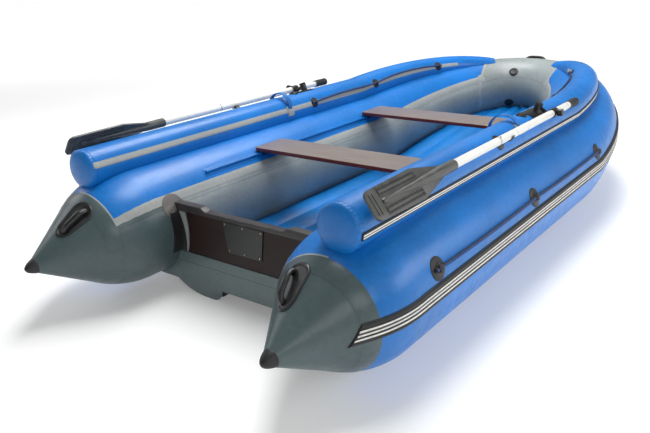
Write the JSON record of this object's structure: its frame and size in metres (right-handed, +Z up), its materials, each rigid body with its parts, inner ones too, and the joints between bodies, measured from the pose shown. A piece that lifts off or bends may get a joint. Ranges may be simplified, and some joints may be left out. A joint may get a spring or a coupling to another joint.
{
  "type": "inflatable rowing boat with upper fender tubes and transom",
  "caption": "Inflatable boat with two main tubes, slimmer fender tubes on top, plywood transom, sliding thwarts, inflatable floor and oars in turning oarlocks.",
  "frame": {"origin": "on the ground under the middle of the boat's length and breadth, as it stands on the two lobes of its bottom", "axes": "+Y towards the bow, +X to starboard, +Z up"},
  "size_m": [1.68, 3.5576, 0.6783],
  "materials": {
    "pvc_blue": "coated fabric, satin",
    "pvc_dark_grey": "coated fabric, satin",
    "pvc_light_grey": "coated fabric, satin",
    "floor_blue": "coated fabric, satin",
    "rail_blue": "moulded, satin",
    "rubber_black": "moulded, matte",
    "plastic_black": "moulded, satin",
    "grip_grey": "moulded, matte",
    "shaft_white": "powder coat, satin",
    "plywood": "film-faced, satin",
    "rope": "braided"
  },
  "bodies": {
    "hull": {"side_tube_starboard": "pvc_blue", "side_tube_port": "pvc_blue", "bow_side_starboard": "pvc_blue", "bow_side_port": "pvc_blue", "fender_starboard": "pvc_blue", "fender_port": "pvc_blue", "fender_bow_starboard": "pvc_blue", "fender_bow_port": "pvc_blue", "strap_handle_starboard": "pvc_blue", "strap_handle_port": "pvc_blue", "stern_cone_starboard": "pvc_dark_grey", "stern_cone_port": "pvc_dark_grey", "transom_holder_starboard": "pvc_dark_grey", "transom_holder_port": "pvc_dark_grey", "cone_tip_starboard": "rubber_black", "cone_tip_port": "rubber_black", "strake_starboard": "rubber_black", "strake_port": "rubber_black", "fender_strake_starboard": "rubber_black", "fender_strake_port": "rubber_black", "oar_clip_starboard": "plastic_black", "oar_clip_port": "plastic_black", "oarlock_base_starboard": "plastic_black", "oarlock_base_port": "plastic_black", "stern_handle_starboard": "plastic_black", "stern_handle_port": "plastic_black", "thwart_rail_starboard": "rail_blue", "thwart_rail_port": "rail_blue", "bow_front": "pvc_light_grey", "transom_patches": "pvc_light_grey", "tail_panel": "pvc_dark_grey", "floor_aft": "floor_blue", "floor_bow": "floor_blue", "transom_board": "plywood", "transom_edging": "plastic_black", "motor_plate": "plastic_black", "motor_plate_inner": "plastic_black", "bow_handle": "plastic_black", "bow_valves": "plastic_black", "fender_valves": "plastic_black", "lifeline_eyelets": "plastic_black", "grab_line_eyelets": "plastic_black", "strake_bow": "rubber_black", "lifelines": "rope", "grab_lines": "rope"},
    "aft_thwart": {"thwart_aft": "plywood", "thwart_shoes_aft": "plastic_black"},
    "front_thwart": {"thwart_front": "plywood", "thwart_shoes_front": "plastic_black"},
    "oarlock_starboard": {"oarlock_head_starboard": "plastic_black"},
    "oarlock_port": {"oarlock_head_port": "plastic_black"},
    "oar_starboard": {"oar_shaft_starboard": "shaft_white", "oar_collar_starboard": "plastic_black", "oar_grip_starboard": "grip_grey", "oar_blade_starboard": "plastic_black"},
    "oar_port": {"oar_shaft_port": "shaft_white", "oar_collar_port": "plastic_black", "oar_grip_port": "grip_grey", "oar_blade_port": "plastic_black"}
  },
  "joints": [
    {"name": "aft_thwart_slide", "type": "slide", "parent": "hull", "child": "aft_thwart", "axis": [0, 1, 0], "range_m": [-0.35, 0.32]},
    {"name": "front_thwart_slide", "type": "slide", "parent": "hull", "child": "front_thwart", "axis": [0, 1, 0], "range_m": [-0.33, 0.02]},
    {"name": "oarlock_turn_starboard", "type": "hinge", "parent": "hull", "child": "oarlock_starboard", "pos_m": [0.66194, -0.00115, 0.65649], "axis": [0.342, 0, 0.9397], "range_deg": [0, 130]},
    {"name": "oarlock_turn_port", "type": "hinge", "parent": "hull", "child": "oarlock_port", "pos_m": [-0.66194, -0.00115, 0.65649], "axis": [0.342, 0, -0.9397], "range_deg": [0, 130]},
    {"name": "oar_lift_starboard", "type": "hinge", "parent": "oarlock_starboard", "child": "oar_starboard", "pos_m": [0.72866, -0.00115, 0.6322], "axis": [-0.9903, 0, -0.1392], "range_deg": [0, 20]},
    {"name": "oar_lift_port", "type": "hinge", "parent": "oarlock_port", "child": "oar_port", "pos_m": [-0.72866, -0.00115, 0.6322], "axis": [-0.9903, 0, 0.1392], "range_deg": [0, 20]}
  ]
}
